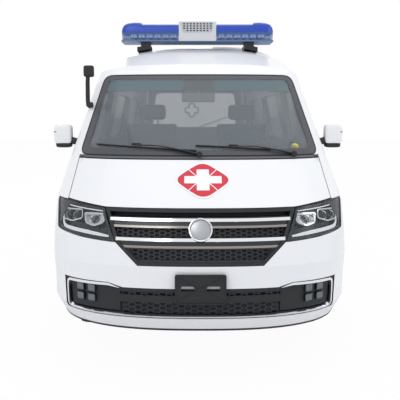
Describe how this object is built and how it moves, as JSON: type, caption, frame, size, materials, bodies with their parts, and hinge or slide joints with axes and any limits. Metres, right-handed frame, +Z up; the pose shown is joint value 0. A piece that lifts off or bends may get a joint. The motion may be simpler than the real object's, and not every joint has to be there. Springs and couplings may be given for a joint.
{
  "type": "ambulance van",
  "caption": "White ambulance van with a blue roof light bar, front doors, tailgate and bonnet that open, and steered front wheels.",
  "frame": {"origin": "centre of the bounding box at the ground", "axes": "+Z up, the front faces -Y, the van's left side is +X"},
  "size_m": [2.1, 4.9123, 2.265],
  "materials": {
    "body_paint": "gloss white paint",
    "glass": "lightly tinted glass",
    "dark_glass": "dark tinted glass",
    "lamp_lens": "clear lamp with chrome reflector",
    "red_lens": "red lamp lens",
    "bumper": "painted plastic",
    "grey_plastic": "grained grey plastic",
    "grille": "black plastic with bright bars",
    "black_plastic": "black plastic",
    "tyre": "black tyre",
    "rim": "silver painted steel",
    "steel": "bare steel",
    "dark_steel": "black painted steel",
    "engine": "cast iron",
    "fabric": "dark seat cloth",
    "bench": "wipe-clean cover",
    "floor": "grey painted steel",
    "dash": "soft dark plastic",
    "beacon": "blue translucent lens",
    "bar_base": "grey plastic"
  },
  "bodies": {
    "body": {"side_left": "body_paint", "side_right": "body_paint", "sliding_door": "body_paint", "side_glass": "dark_glass", "windscreen": "glass", "roof": "body_paint", "headlamps": "lamp_lens", "front_bumper": "bumper", "grille": "grille", "lower_grille": "grille", "fog_lamps": "lamp_lens", "plate_bracket": "black_plastic", "tail_lamps": "red_lens", "floor_pan": "floor", "bulkhead": "floor", "rear_bumper": "grey_plastic", "front_arms": "dark_steel", "rear_axle": "dark_steel", "rear_springs": "dark_steel", "chassis": "dark_steel", "engine": "engine", "fuel_tank": "black_plastic", "exhaust": "steel", "spare_wheel": "tyre", "dashboard": "dash", "front_seats": "fabric", "bench": "bench", "stalk_mirror": "black_plastic", "light_bar": "bar_base", "beacon_lenses": "beacon", "wipers": "black_plastic"},
    "door_left": {"door_left": "body_paint", "door_glass_left": "glass", "mirror_left": "black_plastic"},
    "door_right": {"door_right": "body_paint", "door_glass_right": "glass", "mirror_right": "black_plastic"},
    "tailgate": {"tailgate": "body_paint", "tailgate_glass": "dark_glass"},
    "bonnet": {"bonnet": "body_paint"},
    "steer_left": {"knuckle_left": "dark_steel"},
    "steer_right": {"knuckle_right": "dark_steel"},
    "steering_wheel": {"steering_wheel": "black_plastic"},
    "wheel_fl": {"tyre_fl": "tyre", "rim_fl": "rim"},
    "wheel_fr": {"tyre_fr": "tyre", "rim_fr": "rim"},
    "wheel_rl": {"tyre_rl": "tyre", "rim_rl": "rim"},
    "wheel_rr": {"tyre_rr": "tyre", "rim_rr": "rim"}
  },
  "joints": [
    {"name": "door_left_hinge", "type": "hinge", "parent": "body", "child": "door_left", "pos_m": [0.902, -1.368, 0.89], "axis": [0, 0, -1], "range_deg": [0, 65]},
    {"name": "door_right_hinge", "type": "hinge", "parent": "body", "child": "door_right", "pos_m": [-0.902, -1.368, 0.89], "axis": [0, 0, 1], "range_deg": [0, 65]},
    {"name": "tailgate_hinge", "type": "hinge", "parent": "body", "child": "tailgate", "pos_m": [0, 2.26256, 1.933], "axis": [1, 0, 0], "range_deg": [0, 85]},
    {"name": "bonnet_hinge", "type": "hinge", "parent": "body", "child": "bonnet", "pos_m": [0, -1.775, 1.205], "axis": [-1, 0, 0], "range_deg": [0, 50]},
    {"name": "steer_left", "type": "hinge", "parent": "body", "child": "steer_left", "pos_m": [0.68, -1.47, 0.335], "axis": [0, 0, 1], "range_deg": [-35, 35]},
    {"name": "steer_right", "type": "hinge", "parent": "body", "child": "steer_right", "pos_m": [-0.68, -1.47, 0.335], "axis": [0, 0, 1], "range_deg": [-35, 35]},
    {"name": "steering_turn", "type": "hinge", "parent": "body", "child": "steering_wheel", "pos_m": [0.37, -1.16, 1.215], "axis": [0, 0.8192, 0.5736], "range_deg": [-565, 565]},
    {"name": "wheel_fl_spin", "type": "hinge", "parent": "steer_left", "child": "wheel_fl", "pos_m": [0.745, -1.47, 0.335], "axis": [1, 0, 0], "continuous": true},
    {"name": "wheel_fr_spin", "type": "hinge", "parent": "steer_right", "child": "wheel_fr", "pos_m": [-0.745, -1.47, 0.335], "axis": [1, 0, 0], "continuous": true},
    {"name": "wheel_rl_spin", "type": "hinge", "parent": "body", "child": "wheel_rl", "pos_m": [0.745, 1.33, 0.335], "axis": [1, 0, 0], "continuous": true},
    {"name": "wheel_rr_spin", "type": "hinge", "parent": "body", "child": "wheel_rr", "pos_m": [-0.745, 1.33, 0.335], "axis": [1, 0, 0], "continuous": true}
  ],
  "couplings": [
    {"joint": "steer_right", "follows": "steer_left", "ratio": 1},
    {"joint": "steering_turn", "follows": "steer_left", "ratio": 16}
  ]
}
